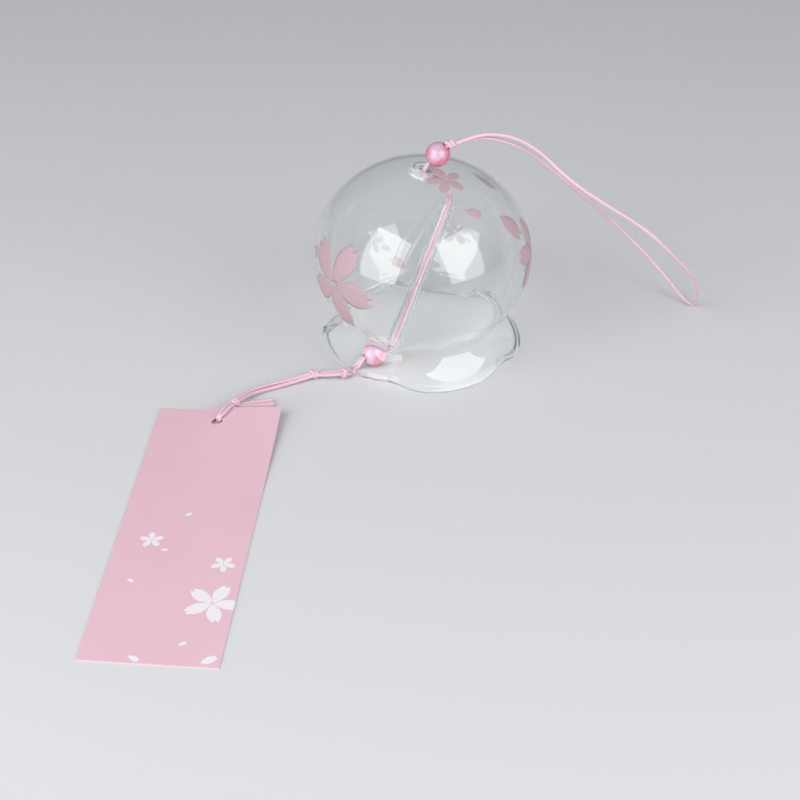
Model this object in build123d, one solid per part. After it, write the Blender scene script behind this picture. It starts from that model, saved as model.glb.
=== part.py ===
from build123d import *
import math
import os

# Furin wind bell standing on a table: X to the right, Y away from the front, Z up, millimetres.
# The bell's axis is Z and the table is Z = 0.

# Blown glass bell
globe_radius = 40.0          # widest outside radius
globe_polar_radius = 35.5    # outside half height, because the globe is a little flat
glass_wall = 1.2
waist_round = 4.5            # outside round of the drawn-in waist above the flare
collar_height = 11.5         # height of the waist, where the flare starts
flare_reach = 8.2            # how far the rim stands out from the waist
flare_power = 1.6            # how late the flare opens out
flare_excess = 0.2           # share by which the uncut flare runs on past the rim
top_hole_dia = 5.0
crimp_angles = (180.0, 251.0, 324.0, 403.0, 468.0)   # pinches made by hand, so unevenly spaced
crimp_rise = 4.7             # height of the rim at a pinch
crimp_round = 1.0            # how soft the peak of a pinch is
lobe_power = 2.2             # how late the rim rises from a lobe's middle to the pinch
lobe_footing = 0.3           # how far below the table a lobe's lowest place would reach
cord_gap_angle = 219.5       # where the cord leaves under the first lobe
cord_gap_rise = 2.8          # how far that lobe stands clear of the table
cord_gap_dip = 0.6           # how far its curve would sink below that
lobe_shares = (0.0, 0.05, 0.14, 0.3, 0.5, 0.7, 0.86, 0.95)   # section points from pinch to pinch
arch_shares = (0.06, 0.18, 0.36, 0.6, 1.0)                   # arch points from a pinch to mid lobe
collar_levels = 5

# Cord, used double
cord_dia = 1.3
strand_gap = 0.1
knot_radius = 1.8
knot_gap = 0.3
second_knot_step = (-10.5, -0.8, 0.1)   # from the knot at the rim to the next one

# Beads
bead_dia = 9.0
bead_bore_dia = 3.0
rest_gap = 0.25
top_bead_offset = 5.4        # how far the top bead lolls from the axis
top_bead_turn = 4.0
lower_bead_inset = 12.6      # from the rim's circle in to the lower bead's middle
lower_bead_turn = 223.5

# Clear stopper disc under the top hole
disc_dia = 12.0
disc_thickness = 1.0
disc_bore_dia = 3.6
disc_tilt = 7.0
disc_gap = 0.2

# Glass tube clapper
tube_dia = 5.0
tube_wall = 0.7
tube_length = 55.5
tube_lean = 33.0             # from the vertical
tube_turn = 228.0            # plan direction in which its lower end lies
tube_end_round = 0.25
bead_to_tube = 8.3           # from the lower bead's middle to the tube's end

# Paper strip
strip_width = 44.0
strip_length = 137.0
strip_thickness = 0.4
strip_turn = -5.2
strip_top = (-72.2, -47.9)   # middle of the top edge
strip_lift = 2.0             # height of the top edge, which lies over the cord
strip_lift_length = 45.0
strip_hole_dia = 4.0
strip_hole_inset = 8.0
tie_knot_place = (-67.6, -45.6, 2.0)

# Heights and radii that follow from the sizes above
eccentric = math.atan2(globe_radius, globe_polar_radius)
globe_centre_z = collar_height + waist_round * math.sqrt(0.5) + globe_polar_radius * math.cos(eccentric)
globe_top_z = globe_centre_z + globe_polar_radius
waist_radius = globe_radius * math.sin(eccentric) - waist_round * (1 - math.sqrt(0.5))
rim_radius = waist_radius + flare_reach
bead_radius = bead_dia / 2


def toward(turn, reach):
    """Point in plan at a direction in degrees and a distance from the axis."""
    return Vector(reach * math.cos(math.radians(turn)), reach * math.sin(math.radians(turn)), 0)


def globe_height(radius, shrink=0):
    """Height of the globe's upper surface at a distance from the axis."""
    share = radius / (globe_radius - shrink)
    return globe_centre_z + (globe_polar_radius - shrink) * math.sqrt(1 - share * share)


# Places of the pieces that seat on each other
bead_slope = math.atan2(globe_height(0) - globe_height(top_bead_offset), top_bead_offset) * 2
top_bead_place = toward(top_bead_turn, top_bead_offset)
top_bead_place += Vector(0, 0, globe_height(top_bead_offset) + (bead_radius + rest_gap) / math.cos(bead_slope))
hole_place = Vector(0.6, 0, globe_top_z - glass_wall / 2)
top_bead_axis = (top_bead_place - hole_place).normalized()
top_knot_place = top_bead_place + top_bead_axis * (bead_radius + knot_radius + knot_gap)

disc_axis = Vector(math.sin(math.radians(disc_tilt)), 0, math.cos(math.radians(disc_tilt)))
disc_rise = disc_dia / 2 * math.sin(math.radians(disc_tilt)) + disc_thickness / 2 * math.cos(math.radians(disc_tilt))
disc_place = Vector(1.0, 0, globe_height(disc_dia / 2, glass_wall) - disc_gap - disc_rise)
stopper_drop = (disc_place - hole_place).normalized()
stopper_reach = (disc_thickness / 2 + knot_gap + knot_radius) / abs(stopper_drop.dot(disc_axis))
stopper_knot_place = disc_place + stopper_drop * stopper_reach

lower_bead_place = toward(lower_bead_turn, rim_radius - lower_bead_inset) + Vector(0, 0, bead_radius + rest_gap / 5)
tube_axis = toward(tube_turn, math.sin(math.radians(tube_lean))) - Vector(0, 0, math.cos(math.radians(tube_lean)))
tube_end_place = lower_bead_place + toward(33.0, bead_to_tube * 0.97) + Vector(0, 0, bead_to_tube * 0.19)
tube_top_place = tube_end_place - tube_axis * tube_length
tube_mouth_drop = 1.3
tube_exit_place = tube_end_place + tube_axis * tube_mouth_drop
lower_bead_axis = (lower_bead_place - tube_exit_place).normalized()
pair_across = lower_bead_axis.cross(tube_axis).normalized()
bead_knot_place = toward(cord_gap_angle + 1.0, rim_radius + knot_radius) + Vector(0, 0, knot_radius + 0.1)
second_knot_place = bead_knot_place + Vector(*second_knot_step)
tie_place = Vector(*tie_knot_place)

strip_across = Vector(math.cos(math.radians(strip_turn)), math.sin(math.radians(strip_turn)), 0)
strip_down = Vector(math.sin(math.radians(strip_turn)), -math.cos(math.radians(strip_turn)), 0)
strip_hole_place = Vector(*strip_top, 0) + strip_down * strip_hole_inset


def rim_lobes():
    """Each lobe of the rim, from pinch to pinch, with the height that its curve sinks to."""
    ends = crimp_angles[1:] + (crimp_angles[0] + 360,)
    feet = [cord_gap_rise - cord_gap_dip] + [-lobe_footing] * (len(ends) - 1)
    return list(zip(crimp_angles, ends, feet))


def lobe_reach(start, end):
    """Distance across from a pinch to the middle of a lobe."""
    return rim_radius * math.sin(math.radians(end - start) / 2)


def lobe_height(across, reach, foot):
    """Height of the rim's curve at a distance across from a pinch, down to the middle of the lobe."""
    away = math.hypot(across, crimp_round) - crimp_round
    share = away / (math.hypot(reach, crimp_round) - crimp_round)
    return foot + (crimp_rise - foot) * max(0.0, 1 - share) ** lobe_power


def rim_height(angle):
    """Height of the rim at a plan angle."""
    height = 0.0
    for start, end, foot in rim_lobes():
        if start <= angle <= end:
            across = rim_radius * math.sin(math.radians(min(angle - start, end - angle)))
            lowest = cord_gap_rise if foot > 0 else 0.0
            height = max(lowest, lobe_height(across, lobe_reach(start, end), foot))
    return height


def flare_radius(angle, z, inside):
    """Radius of the flare's outer or inner surface at a plan angle and a height."""
    drop = collar_height - rim_height(angle)
    share = (collar_height - z) / drop
    if share > 1:
        share = 1 + flare_excess * math.tanh((share - 1) / flare_excess)
    slope = flare_power * flare_reach * share ** (flare_power - 1) / drop
    wall = glass_wall * math.sqrt(1 + slope * slope) if inside else 0
    return waist_radius + flare_reach * share ** flare_power - wall


def flare_section(z, inside):
    """Closed outline of the flare at one height, through points set out from pinch to pinch."""
    if z == collar_height:
        return Plane((0, 0, z)) * Circle(waist_radius - (glass_wall if inside else 0))
    points = []
    for start, end, foot in rim_lobes():
        for share in lobe_shares:
            angle = start + (end - start) * share
            points.append(toward(angle, flare_radius(angle, z, inside)) + Vector(0, 0, z))
    return make_face(Spline(*points, periodic=True))


def flare_body(inside):
    """Solid body of the flare's outer or inner surface, from the waist down to the table."""
    heights = [collar_height * (1 - step / (collar_levels - 1)) for step in range(collar_levels)]
    return loft([flare_section(z, inside) for z in heights])


def globe_body(shrink):
    """Solid of revolution under the globe's outer or inner surface, down to the waist."""
    wide = globe_radius - shrink
    high = globe_polar_radius - shrink
    turn = math.atan2(wide, high)
    waist = waist_radius - shrink
    shoulder = (wide * math.sin(turn), globe_centre_z - high * math.cos(turn))
    middle = math.radians(157.5)
    round_centre = (waist_radius + waist_round, collar_height)
    round_radius = waist_round + shrink
    halfway = (round_centre[0] + round_radius * math.cos(middle), collar_height + round_radius * math.sin(middle))
    crown = (0, globe_centre_z + high)
    start = math.degrees(turn) - 90
    wall = EllipticalCenterArc((0, globe_centre_z), wide, high, start, arc_size=90 - start)
    waist_arc = ThreePointArc(shoulder, halfway, (waist, collar_height))
    outline = [wall, waist_arc, Line((waist, collar_height), (0, collar_height)), Line((0, collar_height), crown)]
    return revolve(Plane.XZ * make_face(outline), Axis.Z)


def arch_side(lobe, side):
    """Points of a pinch's arch on one side, from near its peak to just past the middle of the lobe."""
    start, end, foot = lobe
    reach = lobe_reach(start, end)
    points = [(side * reach * share, lobe_height(reach * share, reach, foot)) for share in arch_shares]
    return points + [(side * (reach + crimp_round), foot)]


def pinch_cutter(before, after):
    """Lying bar that cuts the arch under one pinch, between the middles of the two lobes beside it."""
    angle = after[0]
    arch = Spline(*arch_side(before, -1)[::-1], (0, crimp_rise), *arch_side(after, 1))
    first = arch @ 0
    last = arch @ 1
    under = Polyline(last, (last.X, -crimp_rise), (first.X, -crimp_rise), first)
    plane = Plane(toward(angle, waist_radius / 2), x_dir=toward(angle + 90, 1), z_dir=toward(angle, 1))
    return extrude(plane * make_face([arch, under]), globe_radius)


def cord_gap_cutter():
    """Flat bar that keeps the first lobe clear of the cord."""
    start, end, foot = rim_lobes()[0]
    middle = (start + end) / 2
    bar = Box(globe_radius, 1.5 * lobe_reach(start, end), 2 * cord_gap_rise)
    return Plane(toward(middle, rim_radius), x_dir=toward(middle, 1)) * bar


def make_glass_bell():
    """Globe, waist and flare in one wall, with the top hole and the lifted rim."""
    shell = globe_body(0) - globe_body(glass_wall)
    flare = flare_body(False) - flare_body(True)
    lobes = rim_lobes()
    for before, after in zip([lobes[-1]] + lobes, lobes):
        flare -= pinch_cutter(before, after)
    flare -= cord_gap_cutter()
    hole = Plane((0, 0, globe_top_z)) * Cylinder(top_hole_dia / 2, globe_polar_radius)
    return shell - hole + flare


def make_bead(place, axis):
    """Round bead with a bore along its cord."""
    plane = Plane(place, z_dir=axis)
    return plane * (Sphere(bead_radius) - Cylinder(bead_bore_dia / 2, bead_dia))


def make_stopper_disc():
    """Clear washer that the stopper knot pulls up under the hole."""
    disc = Cylinder(disc_dia / 2, disc_thickness)
    disc = fillet(disc.edges(), disc_thickness / 4) - Cylinder(disc_bore_dia / 2, disc_thickness)
    return Plane(disc_place, z_dir=disc_axis) * disc


def make_clapper_tube():
    """Open glass tube with softened ends."""
    tube = Cylinder(tube_dia / 2, tube_length) - Cylinder(tube_dia / 2 - tube_wall, tube_length)
    tube = fillet(tube.edges().filter_by(GeomType.CIRCLE), tube_end_round)
    return Plane((tube_top_place + tube_end_place) / 2, z_dir=tube_axis) * tube


def make_paper_strip():
    """Card strip whose top end rises over the cord, with a punched hole."""
    def edge(z):
        flat = Line((strip_length, z), (strip_lift_length, z))
        return [flat, TangentArc((strip_lift_length, z), (0, strip_lift + z), tangent=(-1, 0))]
    under = edge(0)
    over = edge(strip_thickness)
    ends = [Line(under[0] @ 0, over[0] @ 0), Line(under[1] @ 1, over[1] @ 1)]
    plane = Plane((*strip_top, 0), x_dir=strip_down, z_dir=-strip_across)
    sheet = extrude(plane * make_face(under + over + ends), strip_width / 2, both=True)
    return sheet - Plane(strip_hole_place) * Cylinder(strip_hole_dia / 2, 4 * strip_lift)


def make_knot(place, axis):
    """Overhand knot as two turns of cord round a core, in the knot's own radius."""
    cord_radius = cord_dia / 2
    step = cord_radius * 0.9
    ring = math.sqrt((knot_radius - cord_radius) ** 2 - step ** 2)
    knot = Cylinder(ring, 2 * step)
    for side in (-1, 1):
        knot += Pos(0, 0, side * step) * Torus(ring, cord_radius)
    return Plane(place, z_dir=axis) * knot


def route_radii(points):
    """Largest round at each corner of a cord's route that its two runs leave room for."""
    radii = []
    for before, corner, after in zip(points, points[1:], points[2:]):
        run = corner - before
        next_run = after - corner
        turn = math.radians(run.get_angle(next_run))
        radii.append(0.45 * min(run.length, next_run.length) / math.tan(turn / 2))
    return radii


def make_strand(name, points):
    """Round cord along a route of straight runs joined by arcs, with its facts printed."""
    points = [Vector(*point) for point in points]
    radii = route_radii(points)
    path = FilletPolyline(*points, radius=radii) if radii else Line(*points)
    strand = sweep(Plane(path @ 0, z_dir=path % 0) * Circle(cord_dia / 2), path=path)
    ideal = math.pi * cord_dia ** 2 / 4 * path.length
    tight = min(radii) / cord_dia if radii else 0
    print(f"{name}: length {path.length:.1f}, volume ratio {strand.volume / ideal:.4f}, tightest {tight:.1f} dia,",
          "radii", [round(radius, 1) for radius in radii])
    return strand


def make_pair(name, points, across):
    """Two strands of the doubled cord side by side along one route."""
    offset = across.normalized() * ((cord_dia + strand_gap) / 2)
    points = [Vector(*point) for point in points]
    strands = [make_strand(name, [point + offset * side for point in points]) for side in (-1, 1)]
    return Compound(children=strands)


# Cord routes
loop_out = [(11.8, 0.1, 83.2), (16.5, 1.0, 84.6), (23.0, 1.7, 85.5), (32.0, 2.0, 83.6), (41.5, 1.2, 78.2),
            (49.5, -0.6, 71.4), (58.0, -1.9, 64.8), (67.0, -2.5, 58.8), (76.0, -2.7, 53.0), (83.7, -2.2, 46.8),
            (90.5, -0.8, 39.2), (97.4, 3.4, 30.2), (103.2, 11.4, 19.8), (105.9, 18.6, 10.2), (106.3, 23.0, 4.2)]
loop_fold = [(105.6, 25.2, 0.9), (103.7, 26.5, 0.8)]
loop_back = [(100.6, 29.6, 2.6), (95.0, 35.8, 7.6), (87.2, 41.4, 14.8), (79.3, 42.8, 22.4), (72.2, 39.4, 31.2),
             (66.2, 31.4, 40.6), (60.4, 22.4, 50.0), (53.2, 13.6, 59.8), (45.6, 8.2, 68.6), (38.2, 5.4, 75.8),
             (30.2, 3.8, 80.8), (22.4, 3.2, 83.2), (16.2, 2.5, 83.0), (11.7, 1.6, 82.2)]
strand_a_route = [(-41.6, -26.5, 2.3), (-48.3, -29.6, 1.7), (-54.8, -31.9, 1.5), (-60.0, -34.9, 1.7),
                  (-63.9, -39.0, 2.2), (-66.9, -43.6, 2.6)]
strand_b_route = [(-41.0, -27.7, 1.7), (-47.6, -30.9, 1.2), (-54.8, -34.4, 1.0), (-59.8, -37.1, 1.3),
                  (-63.2, -40.6, 1.9), (-65.8, -44.4, 2.4)]
tail_a_route = [(-65.9, -44.3, 0.8), (-62.6, -43.0, 0.75), (-58.6, -42.1, 0.75), (-54.2, -41.0, 0.75)]
tail_b_route = [(-65.5, -45.6, 0.8), (-61.6, -44.9, 0.75), (-57.6, -44.7, 0.75), (-53.4, -44.3, 0.75)]


def make_upper_cord():
    """Doubled cord from the stopper knot over into the tube's top end."""
    mouth = tube_top_place - tube_axis * 2.0
    start = stopper_knot_place + Vector(0.45, 0.3, -0.84) * (knot_radius + 0.15)
    bend = start + (mouth - start) * 0.45 + Vector(1.2, -0.4, 0.4)
    inside = tube_top_place + tube_axis * 5.0
    return make_pair("upper_cord", [start, bend, mouth, inside], pair_across)


def make_tube_cord():
    """Straight doubled cord through the tube."""
    ends = [tube_top_place + tube_axis * 5.0, tube_end_place - tube_axis * 5.0]
    return make_pair("tube_cord", ends, pair_across)


def make_bead_cord():
    """Doubled cord out of the tube's end and through the lower bead."""
    start = tube_end_place - tube_axis * 5.0
    end = lower_bead_place + lower_bead_axis * (bead_radius + 0.1)
    return make_pair("bead_cord", [start, tube_exit_place, end], pair_across)


def make_rim_cord():
    """Doubled cord from the lower bead out under the lifted lobe to the knot at the rim."""
    start = lower_bead_place + lower_bead_axis * (bead_radius + 0.7)
    outward = toward(cord_gap_angle + 1.0, 1)
    end = bead_knot_place - outward * (knot_radius + 0.1) - Vector(0, 0, 0.7)
    bend = end - outward * 4.0 - Vector(0, 0, 0.1)
    return make_pair("rim_cord", [start, bend, end], Vector(pair_across.X, pair_across.Y, 0))


def make_knot_cord():
    """Doubled cord from the knot at the rim to the second knot."""
    run = second_knot_place - bead_knot_place
    step = run.normalized() * (knot_radius + 0.1)
    middle = bead_knot_place + run / 2 - Vector(0, 0.3, 0.4)
    return make_pair("knot_cord", [bead_knot_place + step, middle, second_knot_place - step], Vector(0.1, 1, 0))


def make_top_cord():
    """Doubled cord from the top knot through the bead and the hole to the stopper disc."""
    start = top_knot_place - top_bead_axis * (knot_radius + 0.1)
    end = stopper_knot_place - stopper_drop * (knot_radius + 0.1)
    return make_pair("top_cord", [start, hole_place, end], Vector(0, 1, 0))


def make_strip_loop():
    """Cord through the strip's hole and back under its top margin to the tie knot."""
    run = (tie_place - strip_hole_place)
    run = Vector(run.X, run.Y, 0).normalized()
    turn_radius = cord_dia
    low = cord_dia / 2 + 0.05
    reach = (Vector(tie_place.X, tie_place.Y, 0) - strip_hole_place).length
    arm = reach - math.sqrt(max(knot_radius ** 2 - turn_radius ** 2, 0)) - 0.5
    plane = Plane(strip_hole_place + Vector(0, 0, low), x_dir=run, z_dir=run.cross(Vector(0, 0, 1)))
    over = Line((arm, 2 * turn_radius), (0.4, 2 * turn_radius))
    fold = ThreePointArc((0.4, 2 * turn_radius), (0.4 - turn_radius, turn_radius), (0.4, 0))
    under = Line((0.4, 0), (arm, 0))
    path = plane * Wire([over, fold, under])
    print(f"strip_loop: length {path.length:.1f}, fold {turn_radius / cord_dia:.1f} dia")
    return sweep(Plane(path @ 0, z_dir=path % 0) * Circle(cord_dia / 2), path=path)


def build_nodes():
    """Every piece of the wind bell by name."""
    return {
        "glass_bell": make_glass_bell(),
        "stopper_disc": make_stopper_disc(),
        "top_bead": make_bead(top_bead_place, top_bead_axis),
        "lower_bead": make_bead(lower_bead_place, lower_bead_axis),
        "clapper_tube": make_clapper_tube(),
        "paper_strip": make_paper_strip(),
        "hanging_loop": make_strand("hanging_loop", loop_out + loop_fold + loop_back),
        "top_knot": make_knot(top_knot_place, Vector(0.9, 0.1, 0.4)),
        "top_cord": make_top_cord(),
        "stopper_knot": make_knot(stopper_knot_place, disc_axis),
        "upper_cord": make_upper_cord(),
        "tube_cord": make_tube_cord(),
        "bead_cord": make_bead_cord(),
        "rim_cord": make_rim_cord(),
        "bead_knot": make_knot(bead_knot_place, toward(cord_gap_angle, 1)),
        "knot_cord": make_knot_cord(),
        "second_knot": make_knot(second_knot_place, Vector(0.95, 0.3, 0)),
        "strip_cord_back": make_strand("strip_cord_back", strand_a_route),
        "strip_cord_front": make_strand("strip_cord_front", strand_b_route),
        "tie_knot": make_knot(tie_place, Vector(0.5, 0.85, 0)),
        "strip_loop": make_strip_loop(),
        "cord_tail_back": make_strand("cord_tail_back", tail_a_route),
        "cord_tail_front": make_strand("cord_tail_front", tail_b_route),
    }


os.makedirs("parts", exist_ok=True)
for node, solid in build_nodes().items():
    export_step(solid, f"parts/{node}.step")
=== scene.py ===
import math
import bmesh
import bpy
from mathutils import Matrix, Vector


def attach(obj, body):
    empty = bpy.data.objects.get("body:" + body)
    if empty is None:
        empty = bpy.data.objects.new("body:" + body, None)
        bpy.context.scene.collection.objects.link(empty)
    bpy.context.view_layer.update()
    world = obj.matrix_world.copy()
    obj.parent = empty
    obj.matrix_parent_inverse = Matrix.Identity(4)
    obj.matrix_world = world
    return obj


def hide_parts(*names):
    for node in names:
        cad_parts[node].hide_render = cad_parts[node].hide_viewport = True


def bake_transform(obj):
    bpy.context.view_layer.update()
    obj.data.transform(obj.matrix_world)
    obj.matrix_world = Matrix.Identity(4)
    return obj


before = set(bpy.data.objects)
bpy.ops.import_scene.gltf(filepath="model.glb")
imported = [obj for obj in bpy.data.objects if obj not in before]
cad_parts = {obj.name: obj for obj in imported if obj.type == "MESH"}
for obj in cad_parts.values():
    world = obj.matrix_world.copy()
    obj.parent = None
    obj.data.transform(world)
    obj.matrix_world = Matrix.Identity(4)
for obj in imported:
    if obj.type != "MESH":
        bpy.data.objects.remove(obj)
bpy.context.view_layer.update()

# The wind bell stands on a plain pale table, and the camera looks down on it from the front.
# Two large soft lamps and an even sky light it, as in a small studio.
MM = 0.001


class Tone:
    """An output in a material's nodes, on which plain arithmetic adds Math nodes."""

    def __init__(self, tree, socket=None):
        self.tree = tree
        self.socket = socket

    def node(self, kind, settings=None, inputs=None, output=0):
        """Add any other node: its type, its settings, then the values or links of its sockets."""
        made = self.tree.nodes.new("ShaderNode" + kind)
        for name, value in (settings or {}).items():
            if name == "stops":
                for stop, (place, colour) in zip(made.color_ramp.elements, value):
                    stop.position = place
                    stop.color = colour
            else:
                setattr(made, name, value)
        for name, value in (inputs or {}).items():
            if isinstance(value, Tone):
                self.tree.links.new(value.socket, made.inputs[name])
            else:
                made.inputs[name].default_value = value
        return Tone(self.tree, made.outputs[output])

    def maths(self, operation, first, second):
        """Math node on two values or outputs."""
        return self.node("Math", {"operation": operation}, {0: first, 1: second})

    def __add__(self, other):
        return self.maths("ADD", self, other)

    def __radd__(self, other):
        return self.maths("ADD", other, self)

    def __sub__(self, other):
        return self.maths("SUBTRACT", self, other)

    def __rsub__(self, other):
        return self.maths("SUBTRACT", other, self)

    def __mul__(self, other):
        return self.maths("MULTIPLY", self, other)

    def __rmul__(self, other):
        return self.maths("MULTIPLY", other, self)

    def mix(self, first, second):
        """Colour between two, by this value."""
        return self.node("Mix", {"data_type": "RGBA"}, {0: self, 6: first, 7: second}, 2)

    def feed(self, shader, socket):
        """Link this output to a socket of a shader or of the material's output."""
        self.tree.links.new(self.socket, shader.inputs[socket])


def new_finish(name, constants):
    """Material with one Principled shader whose constants are set on its own sockets."""
    finish = bpy.data.materials.new(name)
    finish.use_nodes = True
    shader = finish.node_tree.nodes["Principled BSDF"]
    for socket, value in constants.items():
        shader.inputs[socket].default_value = value
    return finish, shader, Tone(finish.node_tree)


light_bounces = 96
lamp_aim = (0, 0, 0.03)
table_size = 6
lens = bpy.data.cameras.new("view")
lens.lens = 92.25
lens.sensor_width = 36
camera = bpy.data.objects.new("view", lens)
camera.location = (-8.15 * MM, -655.6 * MM, 410.61 * MM)
camera.rotation_euler = (math.radians(56.293), 0, 0)
bpy.context.collection.objects.link(camera)
bpy.context.scene.camera = camera
bpy.context.scene.view_settings.view_transform = "Standard"
bpy.context.scene.cycles.max_bounces = light_bounces
bpy.context.scene.cycles.glossy_bounces = light_bounces
bpy.context.scene.cycles.transmission_bounces = light_bounces

sky = bpy.data.worlds.new("studio")
sky.use_nodes = True
glow = sky.node_tree.nodes["Background"]
glow.inputs["Color"].default_value = (0.92, 0.95, 1, 1)
glow.inputs["Strength"].default_value = 0.35
bpy.context.scene.world = sky


def soft_lamp(name, place, aim, width, height, power):
    """Large softbox at a place, turned to face a point."""
    lamp = bpy.data.lights.new(name, "AREA")
    lamp.shape = "RECTANGLE"
    lamp.size = width
    lamp.size_y = height
    lamp.energy = power
    holder = bpy.data.objects.new(name, lamp)
    holder.location = place
    holder.rotation_euler = (Vector(aim) - Vector(place)).to_track_quat("-Z", "Y").to_euler()
    bpy.context.collection.objects.link(holder)


soft_lamp("left_softbox", (-0.62, -0.58, 0.46), lamp_aim, width=0.75, height=1.0, power=8.2)
soft_lamp("right_softbox", (0.62, -0.58, 0.46), lamp_aim, width=0.7, height=0.95, power=6.2)

bpy.ops.object.select_all(action="DESELECT")
bpy.ops.mesh.primitive_plane_add(size=table_size)
table = bpy.context.object
table.name = "table"
table_finish, shader, tone = new_finish("pale_table", {
    "Base Color": (0.68, 0.68, 0.69, 1), "Specular IOR Level": 0.1})
speck = tone.node("TexNoise", {}, {"Scale": 60.0, "Detail": 2.0})
(0.7 + speck * 0.1).feed(shader, "Roughness")
table.data.materials.append(table_finish)

# The bell is one gather of clear glass, blown into a slightly flat globe with a thin wall.
# Its mouth was opened out, and the hot rim was pinched up at five places by hand.
# The hole in the crown is ground.
globe_radius = 40.0 * MM
globe_polar_radius = 35.5 * MM
globe_segments = 180
globe_rings = 60
glass_wall = 1.2 * MM
collar_height = 11.5 * MM
waist_round = 4.5 * MM
waist_turns = (147, 158, 169, 180)
flare_reach = 8.2 * MM
flare_power = 1.6
flare_shares = (0.12, 0.25, 0.37, 0.48, 0.58, 0.67, 0.75, 0.82, 0.88, 0.92, 0.96, 1.0)
shoulder_turn = math.radians(132)
ring_tolerance = 0.2 * MM
pole_reach = 0.5 * MM
hole_radius = 2.5 * MM
hole_ring_reach = 1.5 * hole_radius
ground_reach = 1.12 * hole_radius
crimp_angles = (180.0, 252.0, 324.0, 402.0, 468.0, 540.0)  # the last is the first again
crimp_rise = 4.7 * MM
crimp_round = 1.0 * MM
lobe_power = 2.2
cord_lobe_rise = 2.6 * MM
ridge_height = 0.9 * MM
ridge_width = 1.4 * MM
ridge_under = 0.4 * MM
ridge_power = 1.5
lip_swell = 0.65 * MM
lip_core = 0.7 * MM
lip_width = 1.1 * MM
lip_lift = 0.75 * MM
lip_thinning = 0.6  # share of the swell that a pinch takes away
lowest_glass = 0.05 * MM
globe_turn = math.atan2(globe_radius, globe_polar_radius)
globe_middle = collar_height + waist_round * math.sqrt(0.5) + globe_polar_radius * math.cos(globe_turn)
waist_radius = globe_radius * math.sin(globe_turn) - waist_round * (1 - math.sqrt(0.5))
rim_radius = waist_radius + flare_reach


def select_points(piece, test):
    """In edit mode, select the points whose place passes the test, and nothing else."""
    bpy.ops.mesh.select_mode(type="VERT")
    bpy.ops.mesh.select_all(action="DESELECT")
    shape = bmesh.from_edit_mesh(piece.data)
    for point in shape.verts:
        point.select = test(point.co)
    shape.select_flush_mode()
    bmesh.update_edit_mesh(piece.data)


def finish_with(piece, kind, **settings):
    """Add a modifier with its settings and apply it."""
    modifier = piece.modifiers.new(kind.lower(), kind)
    for name, value in settings.items():
        setattr(modifier, name, value)
    bpy.context.view_layer.objects.active = piece
    bpy.ops.object.modifier_apply(modifier=modifier.name)


def rim_form(place):
    """Height of the rim at a place's plan angle, with lobes between the pinches, and nearness to a pinch."""
    angle = (math.degrees(math.atan2(place.y, place.x)) - crimp_angles[0]) % 360 + crimp_angles[0]
    for start, end in zip(crimp_angles, crimp_angles[1:]):
        if start <= angle < end:
            across = rim_radius * math.sin(math.radians(min(angle - start, end - angle)))
            reach = rim_radius * math.sin(math.radians(end - start) / 2)
            foot = cord_lobe_rise if start == crimp_angles[0] else 0.0
            away = math.hypot(across, crimp_round) - crimp_round
            share = away / (math.hypot(reach, crimp_round) - crimp_round)
            lift = foot + (crimp_rise - foot) * (1 - share) ** lobe_power
            return lift, math.exp(-(across / ridge_width) ** 2)


bpy.ops.object.select_all(action="DESELECT")
bpy.ops.mesh.primitive_uv_sphere_add(segments=globe_segments, ring_count=globe_rings, radius=globe_radius)
bell = bpy.context.object
bell.name = "blown_glass"
bpy.ops.object.mode_set(mode="EDIT")
bpy.ops.transform.resize(value=(1, 1, globe_polar_radius / globe_radius))
bpy.ops.transform.translate(value=(0, 0, globe_middle))
shoulder_height = globe_middle + globe_polar_radius * math.cos(shoulder_turn)
select_points(bell, lambda p: p.z < shoulder_height - ring_tolerance or p.xy.length < pole_reach)
bpy.ops.mesh.delete(type="VERT")
select_points(bell, lambda p: p.xy.length < hole_ring_reach and p.z > globe_middle)
widened = hole_radius / (globe_radius * math.sin(math.pi / globe_rings))
bpy.ops.transform.resize(value=(widened, widened, 1))
ring_radius = globe_radius * math.sin(shoulder_turn)
ring_height = shoulder_height
rings = []
for turn in waist_turns:
    rings.append((waist_radius + waist_round * (1 + math.cos(math.radians(turn))),
                  collar_height + waist_round * math.sin(math.radians(turn))))
for share in flare_shares:
    rings.append((waist_radius + flare_reach * share ** flare_power, collar_height * (1 - share)))
select_points(bell, lambda p: p.z < shoulder_height + ring_tolerance)
for radius, height in rings:
    bpy.ops.mesh.extrude_region_move(TRANSFORM_OT_translate={"value": (0, 0, height - ring_height)})
    widened = radius / ring_radius
    bpy.ops.transform.resize(value=(widened, widened, 1), center_override=(0, 0, height))
    ring_radius = radius
    ring_height = height
bpy.ops.mesh.select_all(action="SELECT")
bpy.ops.mesh.normals_make_consistent(inside=False)
bpy.ops.object.mode_set(mode="OBJECT")
for point in bell.data.vertices:
    if point.co.z < collar_height:
        lift = rim_form(point.co)[0]
        share = 1 - point.co.z / collar_height
        point.co.z = collar_height - share * (collar_height - lift - lip_lift)
outer_points = len(bell.data.vertices)
finish_with(bell, "SOLIDIFY", thickness=glass_wall, offset=-1, use_even_offset=True)
normals = [point.normal.copy() for point in bell.data.vertices]
for point, normal in zip(bell.data.vertices, normals):
    if point.co.z < collar_height:
        ridge = rim_form(point.co)[1]
        from_edge = min(max(0.0, rim_radius - lip_core - point.co.xy.length) / lip_width, 1.0)
        out = max(0.0, point.co.xy.length - waist_radius) / flare_reach
        swell = lip_swell * (1 - lip_thinning * ridge) * math.cos(math.pi / 2 * from_edge) ** 2
        swell += (ridge_under if point.index < outer_points else ridge_height) * ridge * out ** ridge_power
        point.co += normal * swell
        point.co.z = max(point.co.z, lowest_glass)
finish_with(bell, "SUBSURF", levels=1, render_levels=1)
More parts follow.
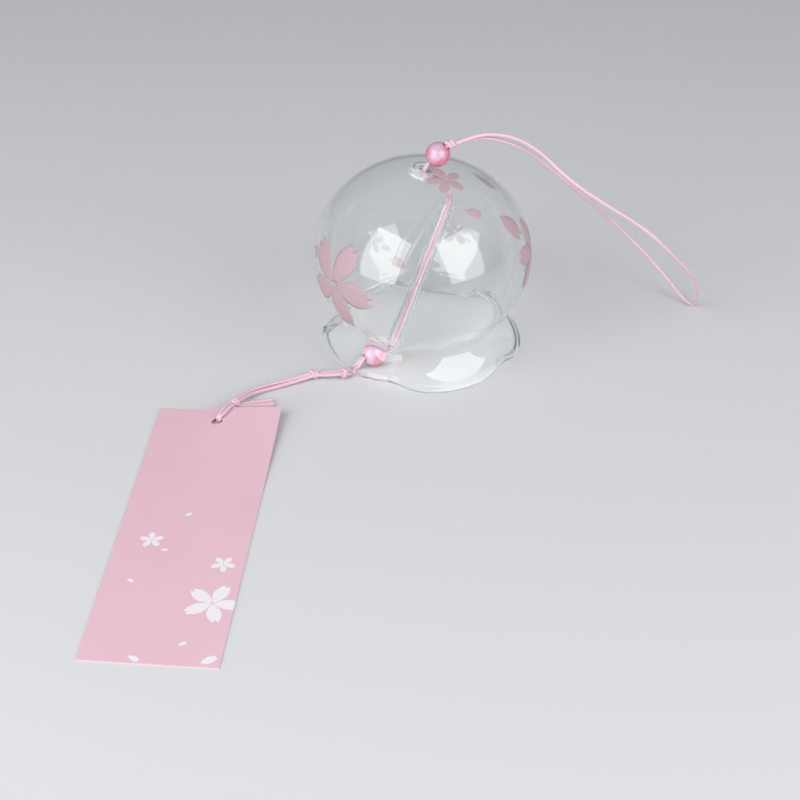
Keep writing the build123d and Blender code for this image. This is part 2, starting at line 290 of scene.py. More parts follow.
bpy.ops.object.shade_smooth()


def let_lamps_through(finish, shader, tone, tint):
    """Let lamp light pass through glass to what stands behind it, with the glass's own tint."""
    shadow = tone.node("LightPath", {}, {}, "Is Shadow Ray")
    clear = tone.node("BsdfTransparent", {}, {"Color": tint})
    glass = Tone(tone.tree, shader.outputs[0])
    seen = tone.node("MixShader", {}, {0: shadow, 1: glass, 2: clear})
    seen.feed(finish.node_tree.nodes["Material Output"], "Surface")


def deepen_edges(finish, tone):
    """Give glass the faint green-grey that shows where light runs a long way inside it."""
    depth = tone.node("VolumeAbsorption", {}, {"Color": (0.66, 0.74, 0.73, 1), "Density": 14.0})
    depth.feed(finish.node_tree.nodes["Material Output"], "Volume")


glass_finish, shader, tone = new_finish("blown_clear_glass", {
    "Base Color": (0.985, 0.995, 0.99, 1), "Roughness": 0.0, "IOR": 1.47, "Transmission Weight": 1.0})
place = tone.node("TexCoord", {}, {}, "Object")
swirl = tone.node("TexNoise", {}, {"Vector": place, "Scale": 45.0, "Detail": 1.0, "Roughness": 0.4})
tone.node("Bump", {}, {"Strength": 0.12, "Distance": 0.4 * MM, "Height": swirl}).feed(shader, "Normal")
let_lamps_through(glass_finish, shader, tone, (0.78, 0.79, 0.79, 1))
deepen_edges(glass_finish, tone)
ground_finish, shader, tone = new_finish("ground_glass_edge", {
    "Base Color": (0.86, 0.88, 0.88, 1), "IOR": 1.47, "Transmission Weight": 0.35})
place = tone.node("TexCoord", {}, {}, "Object")
grit = tone.node("TexNoise", {}, {"Vector": place, "Scale": 1500.0, "Detail": 2.0})
(0.5 + grit * 0.2).feed(shader, "Roughness")
let_lamps_through(ground_finish, shader, tone, (0.7, 0.71, 0.71, 1))
bell.data.materials.clear()
bell.data.materials.append(glass_finish)
bell.data.materials.append(ground_finish)
for face in bell.data.polygons:
    if face.center.z > globe_middle and face.center.xy.length < ground_reach:
        face.material_index = 1
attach(bell, "bell")
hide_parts("glass_bell")

# Cherry blossoms are printed on the outside of the globe in one matt pink ink, whole and as loose petals.
# Each petal is a long leaf shape with a notch in its tip, laid on the curve of the glass.
print_lift = 0.015 * MM
print_thickness = 0.05 * MM
blossom_petals = 5
petal_turn = 360 / blossom_petals
# a petal's form, in shares of its length or half width, and the powers that round its sides and tip
petal_width = 0.5
petal_start = 0.05
petal_fullness = 0.95
root_share = 0.03
swell_share = 0.76
notch_side = 0.5
tip_fall = 0.3
tip_power = 1.3
glass_notch = 0.19
loose_shift = -0.5


def flat_petal(name, length, notch):
    """One notched petal lying flat, its root at the origin and its tip along +X."""
    bpy.ops.object.select_all(action="DESELECT")
    bpy.ops.mesh.primitive_grid_add(x_subdivisions=10, y_subdivisions=8, size=2)
    petal = bpy.context.object
    petal.name = name
    for point in petal.data.vertices:
        along = (point.co.x + 1) / 2
        side = point.co.y
        notched = notch * max(0, 1 - abs(side) / notch_side)
        fallen = tip_fall * max(0, abs(side) - notch_side) ** tip_power
        reach = petal_start + (1 - petal_start) * along * (1 - notched - fallen)
        swell = math.sin(math.pi * (root_share + swell_share * along)) ** petal_fullness
        half_width = swell * (length * petal_width) / 2
        point.co = (length * reach, side * half_width, 0)
    return petal


def globe_place(across, up, longitude, latitude):
    """Point on the globe's print layer, from flat measures about a middle point of the globe."""
    lon = math.radians(longitude)
    lat = math.radians(latitude)
    middle = Vector((globe_radius * math.cos(lat) * math.cos(lon), globe_radius * math.cos(lat) * math.sin(lon),
                     globe_polar_radius * math.sin(lat)))
    normal = Vector((middle.x / globe_radius ** 2, middle.y / globe_radius ** 2,
                     middle.z / globe_polar_radius ** 2))
    east = Vector((-math.sin(lon), math.cos(lon), 0))
    north = normal.normalized().cross(east)
    spot = middle + east * across + north * up
    wide = globe_radius + print_lift
    high = globe_polar_radius + print_lift
    spot /= math.sqrt((spot.x / wide) ** 2 + (spot.y / wide) ** 2 + (spot.z / high) ** 2)
    return spot + Vector((0, 0, globe_middle))


def join_pieces(name, pieces):
    """Make several objects one."""
    bpy.ops.object.select_all(action="DESELECT")
    for piece in pieces:
        piece.select_set(True)
    bpy.context.view_layer.objects.active = pieces[0]
    bpy.ops.object.join()
    pieces[0].name = name
    pieces[0].data.name = name
    return pieces[0]


# longitude and latitude on the globe, length, turn of the first petal
blossom_prints = [(217.6, 1.6, 19.6, -4), (314.4, 73.4, 7.5, 4), (352.0, 6.0, 15.0, 160)]
# longitude and latitude on the globe, length, turn
petal_prints = [(312.3, 49.4, 7.0, -36), (336.9, 31.4, 14.0, -64), (193.0, 8.6, 6.0, 150),
                (107.7, -37.0, 7.0, 215), (45.5, 31.5, 13.0, 214)]
petals = []
for longitude, latitude, length, first in blossom_prints:
    for number in range(blossom_petals):
        petals.append((longitude, latitude, length, first + petal_turn * number, 0.0))
for longitude, latitude, length, turn in petal_prints:
    petals.append((longitude, latitude, length, turn, loose_shift))
pieces = []
for longitude, latitude, length, turn, shift in petals:
    petal = flat_petal("printed_petal", length * MM, glass_notch)
    along = math.radians(turn)
    for point in petal.data.vertices:
        x = point.co.x + shift * length * MM
        y = point.co.y
        point.co = globe_place(x * math.cos(along) - y * math.sin(along),
                               x * math.sin(along) + y * math.cos(along), longitude, latitude)
    pieces.append(petal)
glass_print = join_pieces("glass_blossom_print", pieces)
finish_with(glass_print, "SOLIDIFY", thickness=print_thickness, offset=1)
bpy.ops.object.shade_smooth()
ink_finish, shader, tone = new_finish("dusty_pink_ink", {})
place = tone.node("TexCoord", {}, {}, "Object")
grain = tone.node("TexNoise", {}, {"Vector": place, "Scale": 900.0, "Detail": 3.0})
grain.mix((0.46, 0.32, 0.355, 1), (0.52, 0.37, 0.405, 1)).feed(shader, "Base Color")
(0.5 + grain * 0.2).feed(shader, "Roughness")
glass_print.data.materials.clear()
glass_print.data.materials.append(ink_finish)
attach(glass_print, "bell")

# The cord is one length of pink nylon braid, folded in half so that it runs double below the top knot.
# Its fold is the hanging loop, which has fallen over to the right and touches the table.
cord_diameter = 1.3 * MM
strand_gap = 0.1 * MM
strand_squeeze = 0.5
plait_length = 1.2 * MM
plait_rows = 3
valley_reach = 0.95  # of the cord's radius
crest_rise = 0.14
cord_sides = 12
line_fineness = 64


def cord_line(points):
    """Smooth line of a cord, led by the control points of its route and read back as close points."""
    curve = bpy.data.curves.new("cord_line", "CURVE")
    curve.dimensions = "3D"
    curve.resolution_u = line_fineness
    spline = curve.splines.new("NURBS")
    spline.points.add(len(points) - 1)
    for point, spot in zip(spline.points, points):
        point.co = (*spot, 1)
    spline.order_u = min(3, len(points))
    spline.use_endpoint_u = True
    holder = bpy.data.objects.new("cord_line", curve)
    bpy.context.collection.objects.link(holder)
    bpy.context.view_layer.update()
    read = bpy.data.meshes.new_from_object(holder)
    line = [point.co.copy() for point in read.vertices]
    bpy.data.objects.remove(holder)
    bpy.data.meshes.remove(read)
    return line


def braid(name, lines, loosened=0.0):
    """Braided cord along one or more lines, as one piece with its plaits as an attribute. Cut ends loosen."""
    points, faces, plaits = [], [], []
    for line in lines:
        start = len(points)
        way = (line[1] - line[0]).normalized()
        side = way.orthogonal().normalized()
        travelled = 0.0
        whole = sum((after - before).length for before, after in zip(line, line[1:]))
        for number, middle in enumerate(line):
            if number:
                travelled += (middle - line[number - 1]).length
                ahead = line[min(number + 1, len(line) - 1)] - line[number - 1]
                side = (way.rotation_difference(ahead) @ side).normalized()
                way = ahead.normalized()
            over = way.cross(side).normalized()
            wave = math.cos(2 * math.pi * travelled / plait_length)
            spread = 1 + loosened * travelled / whole
            for step in range(cord_sides):
                turn = 2 * math.pi * step / cord_sides
                plait = 0.5 + 0.5 * math.cos(plait_rows * turn) * wave
                reach = cord_diameter / 2 * (valley_reach + crest_rise * plait) * spread
                points.append(middle + side * (reach * math.cos(turn)) + over * (reach * math.sin(turn)))
                plaits.append(plait)
        rows = len(line)
        for row in range(rows - 1):
            for step in range(cord_sides):
                a = start + row * cord_sides + step
                b = start + row * cord_sides + (step + 1) % cord_sides
                faces.append((a, b, b + cord_sides, a + cord_sides))
        faces.append(tuple(start + step for step in reversed(range(cord_sides))))
        faces.append(tuple(start + (rows - 1) * cord_sides + step for step in range(cord_sides)))
    mesh = bpy.data.meshes.new(name)
    mesh.from_pydata(points, [], faces)
    mesh.attributes.new("plait", "FLOAT", "POINT").data.foreach_set("value", plaits)
    mesh.polygons.foreach_set("use_smooth", [True] * len(mesh.polygons))
    mesh.materials.append(cord_finish)
    cord = bpy.data.objects.new(name, mesh)
    bpy.context.collection.objects.link(cord)
    return cord


def both_strands(points, across, squeezed=()):
    """The two routes of the doubled cord, side by side, and squeezed together at points in a bead or hole."""
    offset = Vector(across).normalized() * ((cord_diameter + strand_gap) / 2)
    routes = ([], [])
    for number, point in enumerate(points):
        share = strand_squeeze if number in squeezed else 1.0
        routes[0].append(Vector(point) - offset * share)
        routes[1].append(Vector(point) + offset * share)
    return routes


def millimetres(points):
    """Route whose points are given in millimetres."""
    return [Vector(point) * MM for point in points]


cord_finish, shader, tone = new_finish("pink_nylon_braid", {
    "Sheen Weight": 0.35, "Sheen Roughness": 0.4, "Sheen Tint": (1, 0.85, 0.9, 1)})
plait = tone.node("Attribute", {"attribute_name": "plait"}, {}, "Fac")
place = tone.node("TexCoord", {}, {}, "Object")
thread = tone.node("TexNoise", {}, {"Vector": place, "Scale": 2500.0, "Detail": 2.0})
fade = tone.node("TexNoise", {}, {"Vector": place, "Scale": 120.0, "Detail": 1.0})
# The grooves between the plaits are painted darker than the crests: painted shade.
groove_shade = plait * 0.9 + thread * 0.2
pink = groove_shade.mix((0.57, 0.24, 0.35, 1), (0.81, 0.6, 0.69, 1))
(fade * 0.35).mix(pink, (0.86, 0.74, 0.8, 1)).feed(shader, "Base Color")
(0.62 - plait * 0.2).feed(shader, "Roughness")
tone.node("Bump", {}, {"Strength": 0.3, "Distance": 0.05 * MM, "Height": thread}).feed(shader, "Normal")

loop_out = [(10.2, 0.3, 82.2), (12.2, 0.3, 82.6), (16.6, 1.0, 84.4), (23.2, 1.7, 85.7), (32.5, 2.0, 84.3),
            (42.0, 1.2, 78.8), (49.5, -0.6, 71.4), (58.0, -1.9, 64.8), (67.0, -2.5, 58.8), (76.0, -2.7, 53.0),
            (83.7, -2.2, 46.8), (90.5, -0.8, 39.2), (97.4, 3.4, 30.2), (103.2, 11.4, 19.8), (105.9, 18.6, 10.2),
            (106.3, 23.0, 4.2)]
loop_fold = [(105.6, 25.2, 0.9), (103.7, 26.5, 0.8)]
loop_back = [(100.6, 29.6, 2.6), (95.0, 35.8, 7.6), (87.2, 41.4, 14.8), (79.3, 42.8, 22.4), (72.2, 39.4, 31.2),
             (66.2, 31.4, 40.6), (60.4, 22.4, 50.0), (53.2, 13.6, 59.8), (45.8, 8.2, 69.0), (38.8, 5.4, 76.4),
             (30.8, 3.8, 81.4), (22.6, 3.2, 83.6), (16.3, 2.4, 83.0), (12.2, 1.5, 82.0), (10.2, 0.9, 82.0)]
loop_line = cord_line(millimetres(loop_out + loop_fold + loop_back))
hanging_loop = braid("loop_cord", [loop_line])
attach(hanging_loop, "loop")
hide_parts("hanging_loop")

# An overhand knot in the doubled cord sits on top of the upper bead.
# Like every knot on this cord it is pulled tight into a small round lump.
knot_radius = 1.8 * MM
knot_length = 2.4 * MM
knot_wrap_radius = knot_radius - cord_diameter / 2
knot_ring_step = 7
knot_steps = 36
knot_turn = 5.2 * math.pi
knot_wrapped = 0.7  # share of the strand that wraps, before it goes back across the wraps
knot_start = 0.08
knot_hump = 0.32 * MM


def tied_knot(name, node, body, middle, axis):
    """Tight overhand knot about a middle point: wraps round the cord along the axis, then a strand across."""
    turn = Vector((0, 0, 1)).rotation_difference(Vector(axis))
    side = turn @ Vector((1, 0, 0))
    wraps = []
    for step in range(knot_steps + 1):
        share = step / knot_steps
        angle = knot_turn * share
        if share < knot_wrapped:
            out = knot_wrap_radius * min(1, share / knot_start)
            along = knot_length * (share / knot_wrapped - 0.5)
        else:
            back = (share - knot_wrapped) / (1 - knot_wrapped)
            out = knot_wrap_radius + knot_hump * math.sin(math.pi * back)
            along = knot_length * (0.5 - back)
        wraps.append(middle + turn @ Vector((out * math.cos(angle), out * math.sin(angle), along)))
    heart = [middle + turn @ Vector((0, 0, knot_length * reach)) for reach in (-0.5, 0, 0.5)]
    strands = [cord_line(route) for route in both_strands(heart, side)]
    knot = braid(name, [cord_line(wraps)[::knot_ring_step]] + strands)
    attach(knot, body)
    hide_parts(node)


top_knot = Vector((9.8, 0.5, 82.2)) * MM
tied_knot("loop_knot", "top_knot", "bell", top_knot, (0.86, 0.05, 0.5))

# The upper bead is a round glass bead of marbled rose and white, crackled inside.
# It lolls beside the hole in the crown, and the doubled cord passes through its bore.
bead_radius = 4.5 * MM
bore_radius = 1.3 * MM
bead_tolerance = 0.1 * MM


def glass_bead(name, node, body, middle, axis, paleness):
    """Round bead with a bore along its cord, and more or less white in its marbling."""
    bpy.ops.object.select_all(action="DESELECT")
    bpy.ops.mesh.primitive_uv_sphere_add(segments=48, ring_count=32, radius=bead_radius)
    bead = bpy.context.object
    bead.name = name
    bpy.ops.object.mode_set(mode="EDIT")
    select_points(bead, lambda p: p.xy.length < bore_radius - bead_tolerance)
    bpy.ops.mesh.delete(type="VERT")
    mouth = math.sqrt(bead_radius ** 2 - bore_radius ** 2)
    select_points(bead, lambda p: abs(p.z) > mouth - bead_tolerance)
    bpy.ops.mesh.bridge_edge_loops(number_cuts=4)
    bpy.ops.mesh.select_all(action="SELECT")
    bpy.ops.mesh.normals_make_consistent(inside=False)
    bpy.ops.object.mode_set(mode="OBJECT")
    turn = Vector((0, 0, 1)).rotation_difference(Vector(axis)).to_matrix().to_4x4()
    bead.data.transform(Matrix.Translation(middle) @ turn)
    finish_with(bead, "SUBSURF", levels=1, render_levels=1)
    bpy.ops.object.shade_smooth()
    pale = bead.data.attributes.new("paleness", "FLOAT", "POINT")
    pale.data.foreach_set("value", [paleness] * len(bead.data.vertices))
    bead.data.materials.clear()
    bead.data.materials.append(bead_finish)
    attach(bead, body)
    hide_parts(node)


bead_finish, shader, tone = new_finish("marbled_rose_glass", {
    "IOR": 1.5, "Transmission Weight": 0.25, "Roughness": 0.2, "Coat Weight": 0.5, "Coat Roughness": 0.05})
place = tone.node("TexCoord", {}, {}, "Object")
outward = tone.node("TexCoord", {}, {}, "Normal")
cloud = tone.node("TexNoise", {}, {"Vector": place, "Scale": 190.0, "Detail": 2.0, "Distortion": 1.2})
crack = tone.node("TexVoronoi", {"feature": "DISTANCE_TO_EDGE"}, {"Vector": place, "Scale": 520.0})
# The marbling mixes a real rose-and-white cloud with painted light: the side facing front and up, towards the
# lamps and the camera, is painted paler.
painted_lit_side = tone.node("VectorMath", {"operation": "DOT_PRODUCT"}, {0: outward, 1: (-0.15, -0.8, 0.58)},
                      "Value")
white = tone.node("Attribute", {"attribute_name": "paleness"}, {}, "Fac")
marble_and_lit_side = tone.node("ValToRGB", {"stops": ((0.6, (0, 0, 0, 1)), (0.98, (1, 1, 1, 1)))},
                   {"Fac": painted_lit_side * 0.55 + cloud * 1.3 + white})
rose = marble_and_lit_side.mix((0.8, 0.17, 0.3, 1), (0.8, 0.53, 0.72, 1))
line = tone.node("ValToRGB", {"stops": ((0.0, (1, 1, 1, 1)), (0.07, (0, 0, 0, 1)))}, {"Fac": crack})
(line * 0.25).mix(rose, (0.93, 0.8, 0.88, 1)).feed(shader, "Base Color")
tone.node("Bump", {}, {"Strength": 0.06, "Distance": 0.1 * MM, "Height": crack}).feed(shader, "Normal")
top_bead = Vector((5.387, 0.377, 78.206)) * MM
top_bead_axis = Vector((0.686, 0.054, 0.725))
glass_bead("crown_bead_glass", "top_bead", "crown_bead", top_bead, top_bead_axis, paleness=-0.24)

# The doubled cord goes from the top knot through the bead and the crown's hole.
# A clear plastic washer and the stopper knot under it take the bell's weight.
stopper_knot = Vector((2.7, 0.3, 68.1)) * MM
crown_hole = Vector((0.6, 0.0, 73.146)) * MM
disc_middle = Vector((1.0, 0.0, 70.706)) * MM
disc_radius = 6.0 * MM
disc_thickness = 1.0 * MM
disc_bore_radius = 1.6 * MM
disc_tilt = math.radians(7)
disc_edge = 0.22 * MM
disc_edge_angle = math.radians(40)
end_face_share = 0.9
bead_clearance = 0.4 * MM
bead_mouth = top_bead_axis * (bead_radius + bead_clearance)
way = [top_knot, top_bead + bead_mouth, top_bead, top_bead - bead_mouth, crown_hole, disc_middle, stopper_knot]
routes = both_strands(way, (0, 1, 0), (1, 2, 3))
crown_cord = braid("crown_cord", [cord_line(route) for route in routes])
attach(crown_cord, "bell")
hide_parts("top_cord")

bpy.ops.object.select_all(action="DESELECT")
bpy.ops.mesh.primitive_cylinder_add(vertices=64, radius=disc_radius, depth=disc_thickness, end_fill_type="NGON")
disc = bpy.context.object
disc.name = "stopper_washer"
bpy.ops.object.mode_set(mode="EDIT")
bpy.ops.mesh.select_mode(type="FACE")
bpy.ops.mesh.select_all(action="DESELECT")
shape = bmesh.from_edit_mesh(disc.data)
for face in shape.faces:
    face.select = abs(face.normal.z) > end_face_share
bmesh.update_edit_mesh(disc.data)
bpy.ops.mesh.inset(thickness=disc_radius - disc_bore_radius, use_individual=True)
bpy.ops.mesh.bridge_edge_loops()
bpy.ops.mesh.select_all(action="SELECT")
bpy.ops.mesh.normals_make_consistent(inside=False)
bpy.ops.object.mode_set(mode="OBJECT")
finish_with(disc, "BEVEL", width=disc_edge, segments=3, limit_method="ANGLE", angle_limit=disc_edge_angle)
turn = Vector((0, 0, 1)).rotation_difference(Vector((math.sin(disc_tilt), 0, math.cos(disc_tilt))))
disc.data.transform(Matrix.Translation(disc_middle) @ turn.to_matrix().to_4x4())
bpy.ops.object.shade_smooth_by_angle(angle=disc_edge_angle)
washer_finish, shader, tone = new_finish("clear_soft_plastic", {"IOR": 1.46, "Transmission Weight": 0.2})
place = tone.node("TexCoord", {}, {}, "Object")
haze = tone.node("TexNoise", {}, {"Vector": place, "Scale": 700.0, "Detail": 2.0})
mottle = tone.node("ValToRGB", {"stops": ((0.36, (0, 0, 0, 1)), (0.56, (1, 1, 1, 1)))}, {"Fac": haze})
mottle.mix((0.62, 0.64, 0.65, 1), (0.95, 0.95, 0.96, 1)).feed(shader, "Base Color")
(0.2 + haze * 0.25).feed(shader, "Roughness")
tone.node("Bump", {}, {"Strength": 0.15, "Distance": 0.1 * MM, "Height": haze}).feed(shader, "Normal")
disc.data.materials.clear()
disc.data.materials.append(washer_finish)
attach(disc, "bell")
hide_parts("stopper_disc")
tied_knot("stopper_lump", "stopper_knot", "bell", stopper_knot, (-0.35, -0.1, 0.93))

# The clapper is an open glass tube that rides on the doubled cord below the stopper knot.
# It leans across the inside of the bell and strikes the glass when the wind takes the strip.
tube_top = Vector((9.425, 10.191, 52.673)) * MM
tube_axis = Vector((-0.364435, -0.404746, -0.838671))
tube_length = 55.5 * MM
tube_radius = 2.5 * MM
tube_wall = 0.7 * MM
tube_edge = 0.25 * MM
tube_edge_angle = math.radians(50)
tube_end = tube_top + tube_axis * tube_length
bpy.ops.object.select_all(action="DESELECT")
bpy.ops.mesh.primitive_cylinder_add(vertices=64, radius=tube_radius, depth=tube_length, end_fill_type="NOTHING")
tube = bpy.context.object
tube.name = "clapper_glass"
finish_with(tube, "SOLIDIFY", thickness=tube_wall, offset=-1, use_even_offset=True)
finish_with(tube, "BEVEL", width=tube_edge, segments=4, limit_method="ANGLE", angle_limit=tube_edge_angle)
turn = Vector((0, 0, -1)).rotation_difference(tube_axis).to_matrix().to_4x4()
tube.data.transform(Matrix.Translation((tube_top + tube_end) / 2) @ turn)
bpy.ops.object.shade_smooth_by_angle(angle=tube_edge_angle)
tube_finish, shader, tone = new_finish("drawn_clear_glass", {
    "Base Color": (0.99, 0.995, 0.99, 1), "Roughness": 0.0, "IOR": 1.5, "Transmission Weight": 1.0})
place = tone.node("TexCoord", {}, {}, "Object")
streak = tone.node("TexNoise", {}, {"Vector": place, "Scale": 150.0, "Detail": 1.0})
tone.node("Bump", {}, {"Strength": 0.06, "Distance": 0.2 * MM, "Height": streak}).feed(shader, "Normal")
let_lamps_through(tube_finish, shader, tone, (0.85, 0.86, 0.86, 1))
deepen_edges(tube_finish, tone)
tube.data.materials.clear()
tube.data.materials.append(tube_finish)
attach(tube, "tube")
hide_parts("clapper_tube")

# The doubled cord goes from the stopper knot into the tube, down through it and out again to the lower bead.
# It is one braid, made here in the three stretches that swing with the clapper.
lower_bead = Vector((-17.553, -16.658, 4.55)) * MM
tube_exit = Vector((-11.275, -12.799, 5.037)) * MM
lower_bead_axis = (lower_bead - tube_exit).normalized()
pair_across = (0.5036, -0.8432, 0.1881)
knot_depth = 0.7 * knot_radius
mouth_gap = 2.0 * MM
seam_depth = 5.0 * MM
bead_overrun = 0.1 * MM
cord_in = stopper_knot + Vector((0.45, 0.3, -0.84)) * knot_depth
tube_mouth = tube_top - tube_axis * mouth_gap
upper_seam = tube_top + tube_axis * seam_depth
lower_seam = tube_end - tube_axis * seam_depth
bow = millimetres([(6.2, 1.9, 64.4), (9.7, 5.6, 59.6)])
stretches = [
    ("swing_cord", "upper_cord", [cord_in, *bow, tube_mouth, upper_seam]),
    ("through_cord", "tube_cord", [upper_seam, (tube_top + tube_end) / 2, lower_seam]),
    ("foot_cord", "bead_cord", [lower_seam, tube_exit, lower_bead - lower_bead_axis * bead_radius, lower_bead,
                                lower_bead + lower_bead_axis * (bead_radius + bead_overrun)]),
]
for name, node, points in stretches:
    in_bead = (2, 3, 4) if name == "foot_cord" else ()
    cord = braid(name, [cord_line(route) for route in both_strands(points, pair_across, in_bead)])
    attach(cord, "clapper")
    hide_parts(node)

# The lower bead is the twin of the upper one and lies on the table inside the mouth.
# From it the doubled cord goes out under the lifted lobe of the rim to a knot.
glass_bead("foot_bead_glass", "lower_bead", "clapper_bead", lower_bead, lower_bead_axis, paleness=-0.06)
rim_knot = Vector((-28.3, -25.7, 2.5)) * MM
rim_knot_turn = math.radians(221)
bead_depth = 0.6 * MM
bead_run = 1.4 * MM
rim_bend = Vector((-24.4, -21.7, 1.1)) * MM
under_lip = Vector((-27.3, -24.4, 0.85)) * MM
bead_face = lower_bead + lower_bead_axis * (bead_radius - bead_depth)
way = [bead_face, bead_face + lower_bead_axis * bead_run, rim_bend, under_lip, rim_knot]
routes = both_strands(way, (0.6, -0.8, 0), (0, 1))
rim_cord = braid("rim_cord_pair", [cord_line(route) for route in routes])
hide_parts("rim_cord")
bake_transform(rim_cord)
tied_knot("rim_lump", "bead_knot", "bell", rim_knot, (math.cos(rim_knot_turn), math.sin(rim_knot_turn), 0))

# A short doubled run leads to the second knot, where the two strands part.
# They go on side by side, loose on the table, to the knot at the strip.
second_knot = Vector((-39.851, -25.868, 2.06)) * MM
sag = Vector((0, 0.3, 0.4)) * MM
routes = both_strands([rim_knot, (rim_knot + second_knot) / 2 - sag, second_knot], (0.1, 1, 0))
knot_run = braid("knot_run_pair", [cord_line(route) for route in routes])
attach(knot_run, "bell")
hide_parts("knot_cord")
tied_knot("second_lump", "second_knot", "bell", second_knot, (0.95, 0.3, 0))
back_strand = [(-40.6, -26.0, 2.3), (-48.3, -29.6, 1.7), (-54.8, -31.9, 1.5), (-60.0, -34.9, 1.7),
               (-63.9, -39.0, 2.2), (-66.9, -43.6, 2.6)]
front_strand = [(-40.2, -26.9, 1.8), (-47.6, -30.6, 1.3), (-54.8, -34.0, 1.1), (-59.8, -36.8, 1.4),
                (-63.2, -40.4, 2.0), (-66.4, -44.6, 2.3)]
for name, node, points in (("back_strand", "strip_cord_back", back_strand),
                           ("front_strand", "strip_cord_front", front_strand)):
    line = cord_line(millimetres(points))
    strand = braid(name, [line])
    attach(strand, "bell")
    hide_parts(node)

# The strip is tied on by a knot just above its top edge, and the two cut ends of the cord lie beside it.
# The ends are bare braid, a little loosened where they were cut.
tie_knot = Vector((-67.6, -45.6, 2.1)) * MM
end_loosening = 0.3
tied_knot("tie_lump", "tie_knot", "strip_tie", tie_knot, (0.5, 0.85, 0))
back_tail = [(-65.9, -44.3, 0.8), (-62.6, -43.2, 0.8), (-58.6, -42.6, 0.85), (-54.2, -41.7, 0.95)]
front_tail = [(-65.5, -45.6, 0.8), (-61.6, -44.9, 0.8), (-57.6, -44.5, 0.85), (-53.4, -44.0, 0.95)]
for name, node, points in (("back_tail", "cord_tail_back", back_tail),
                           ("front_tail", "cord_tail_front", front_tail)):
    tail = braid(name, [cord_line([tie_knot] + millimetres(points))], loosened=end_loosening)
    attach(tail, "strip_tie")
    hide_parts(node)

# The wind strip is thin card, printed pink with white blossoms, and punched near its top edge.
# Its top right corner has curled up off the table, and its margin rides over the cord.
strip_width = 44.0 * MM
strip_length = 137.0 * MM
strip_thickness = 0.4 * MM
strip_turn = math.radians(-5.2)
strip_top = Vector((-72.2, -47.9, 0)) * MM
strip_lift = 3.2 * MM
strip_lift_start = -14.0 * MM
strip_lift_length = 50.0 * MM
strip_lift_power = 1.7
strip_bulge = 0.62 * MM
strip_bulge_place = 1.6 * MM
strip_bulge_width = 5.0 * MM
strip_bulge_length = 26.0 * MM
strip_hole_radius = 2.0 * MM
strip_hole_inset = 8.0 * MM
punch_length = 4.0 * MM
strip_across = Vector((math.cos(strip_turn), math.sin(strip_turn), 0))
strip_down = Vector((math.sin(strip_turn), -math.cos(strip_turn), 0))


def strip_place(across, down, height):
    """Point of the strip from its flat measures: across from its middle line, down from its top edge."""
    share = min(max(0.0, (across - strip_lift_start) / (strip_width / 2 - strip_lift_start)), 1.0)
    curl = max(0.0, 1 - down / strip_lift_length) ** strip_lift_power
    lift = strip_lift * math.sin(math.pi / 2 * share) ** 2 * curl
    beside_cord = (across - strip_bulge_place) / strip_bulge_width
    over_cord = strip_bulge * math.exp(-beside_cord ** 2) * max(0.0, 1 - down / strip_bulge_length)
    return strip_top + strip_across * across + strip_down * down + Vector((0, 0, lift + over_cord + height))


bpy.ops.object.select_all(action="DESELECT")
bpy.ops.mesh.primitive_grid_add(x_subdivisions=22, y_subdivisions=68, size=1)
strip = bpy.context.object
strip.name = "wind_strip"
strip.data.transform(Matrix.Diagonal((strip_width, strip_length, 1, 1)))
strip.data.transform(Matrix.Translation((0, -strip_length / 2, 0)))
finish_with(strip, "SOLIDIFY", thickness=strip_thickness, offset=1)
bpy.ops.object.select_all(action="DESELECT")
bpy.ops.mesh.primitive_cylinder_add(vertices=48, radius=strip_hole_radius, depth=punch_length,
                                    location=(0, -strip_hole_inset, 0))
punch = bpy.context.object
finish_with(strip, "BOOLEAN", object=punch, operation="DIFFERENCE", solver="EXACT")
bpy.data.objects.remove(punch)
for point in strip.data.vertices:
    point.co = strip_place(point.co.x, -point.co.y, point.co.z)
card_finish, shader, tone = new_finish("printed_pink_card", {"Specular IOR Level": 0.35})
place = tone.node("TexCoord", {}, {}, "Object")
fibre = tone.node("TexNoise", {}, {"Vector": place, "Scale": 1400.0, "Detail": 4.0})
wash = tone.node("TexNoise", {}, {"Vector": place, "Scale": 18.0, "Detail": 2.0})
(wash * 0.7 + fibre * 0.3).mix((0.74, 0.45, 0.53, 1), (0.8, 0.55, 0.62, 1)).feed(shader, "Base Color")
(0.5 + fibre * 0.2).feed(shader, "Roughness")
tone.node("Bump", {}, {"Strength": 0.1, "Distance": 0.05 * MM, "Height": fibre}).feed(shader, "Normal")
strip.data.materials.clear()
strip.data.materials.append(card_finish)
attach(strip, "strip")
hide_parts("paper_strip")

# The blossoms on the strip are white ink on the pink, two small ones, a large one and loose petals.
# The large one and the lowest petals run off the edge, where the card was cut.
strip_notch = 0.14
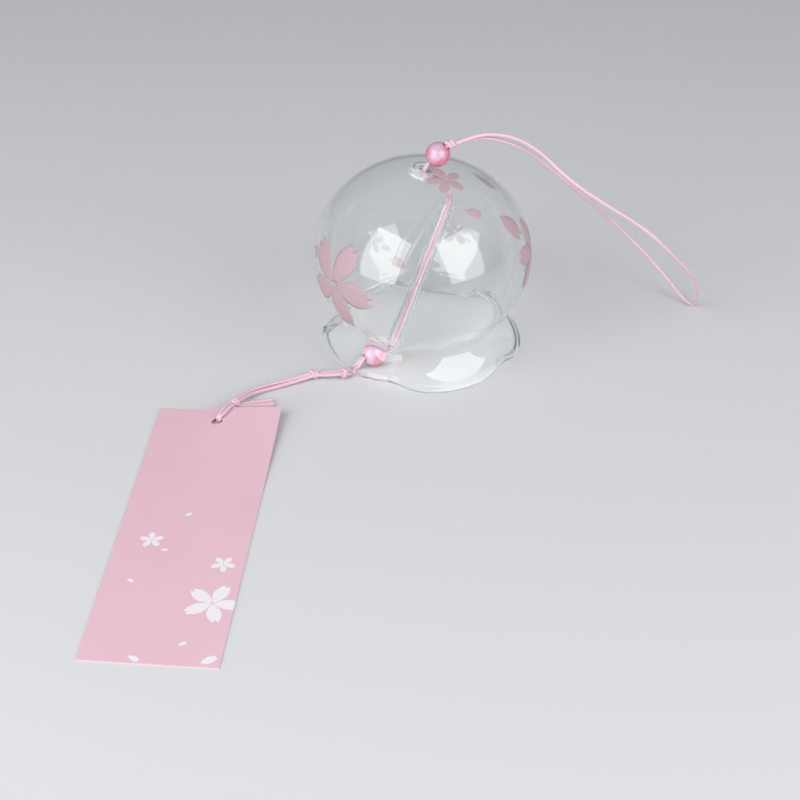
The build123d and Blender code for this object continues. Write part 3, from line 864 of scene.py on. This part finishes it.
# across, down, length, turn of the first petal, number of petals
strip_prints = [(-10.3, 76.4, 4.2, 97, 5), (15.2, 87.0, 4.2, -12, 5), (14.9, 106.9, 9.6, -3, 5),
                (-1.8, 62.5, 2.8, 35, 1), (-6.3, 81.4, 2.4, 5, 1), (-14.3, 97.0, 2.8, -33, 1),
                (7.8, 127.8, 3.0, 37, 1), (-6.6, 133.8, 4.4, -30, 1), (15.9, 135.6, 6.0, 38, 1)]
pieces = []
for across, down, length, first, count in strip_prints:
    for number in range(count):
        petal = flat_petal("strip_petal", length * MM, strip_notch)
        along = math.radians(first + petal_turn * number)
        for point in petal.data.vertices:
            x = across * MM + point.co.x * math.cos(along) - point.co.y * math.sin(along)
            y = down * MM - point.co.x * math.sin(along) - point.co.y * math.cos(along)
            x = min(max(x, -strip_width / 2), strip_width / 2)
            y = min(y, strip_length)
            point.co = strip_place(x, y, strip_thickness + print_lift)
        pieces.append(petal)
strip_print = join_pieces("strip_blossom_print", pieces)
finish_with(strip_print, "SOLIDIFY", thickness=print_thickness / 2, offset=1)
white_finish, shader, tone = new_finish("white_ink", {"Roughness": 0.55})
place = tone.node("TexCoord", {}, {}, "Object")
grain = tone.node("TexNoise", {}, {"Vector": place, "Scale": 1200.0, "Detail": 3.0})
grain.mix((0.82, 0.78, 0.82, 1), (0.87, 0.84, 0.87, 1)).feed(shader, "Base Color")
strip_print.data.materials.clear()
strip_print.data.materials.append(white_finish)
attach(strip_print, "strip")

# The cord's last loop joins the tie knot to the strip. It is the same braid, doubled.
# It goes down through the strip's hole, drawn together at the edge, and back under the margin to the knot.
hole = strip_top + strip_down * strip_hole_inset
to_knot = Vector((tie_knot.x - hole.x, tie_knot.y - hole.y, 0))
run = to_knot.normalized()
reach = to_knot.length
knot_side = reach - 0.8 * MM
# distance from the hole's middle towards the knot, height in millimetres
loop_way = [(knot_side, 2.7), (reach * 0.65, 3.5), (3.4 * MM, 2.8), (1.9 * MM, 2.9), (1.25 * MM, 2.0),
            (1.25 * MM, 1.1), (2.0 * MM, 0.72), (reach * 0.55, 0.75), (knot_side, 1.4)]
loop_points = [hole + run * along + Vector((0, 0, height * MM)) for along, height in loop_way]
routes = both_strands(loop_points, run.cross(Vector((0, 0, 1))), (3, 4, 5))
strip_loop = braid("strip_loop_cord", [cord_line(route) for route in routes])
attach(strip_loop, "strip")
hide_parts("strip_loop")
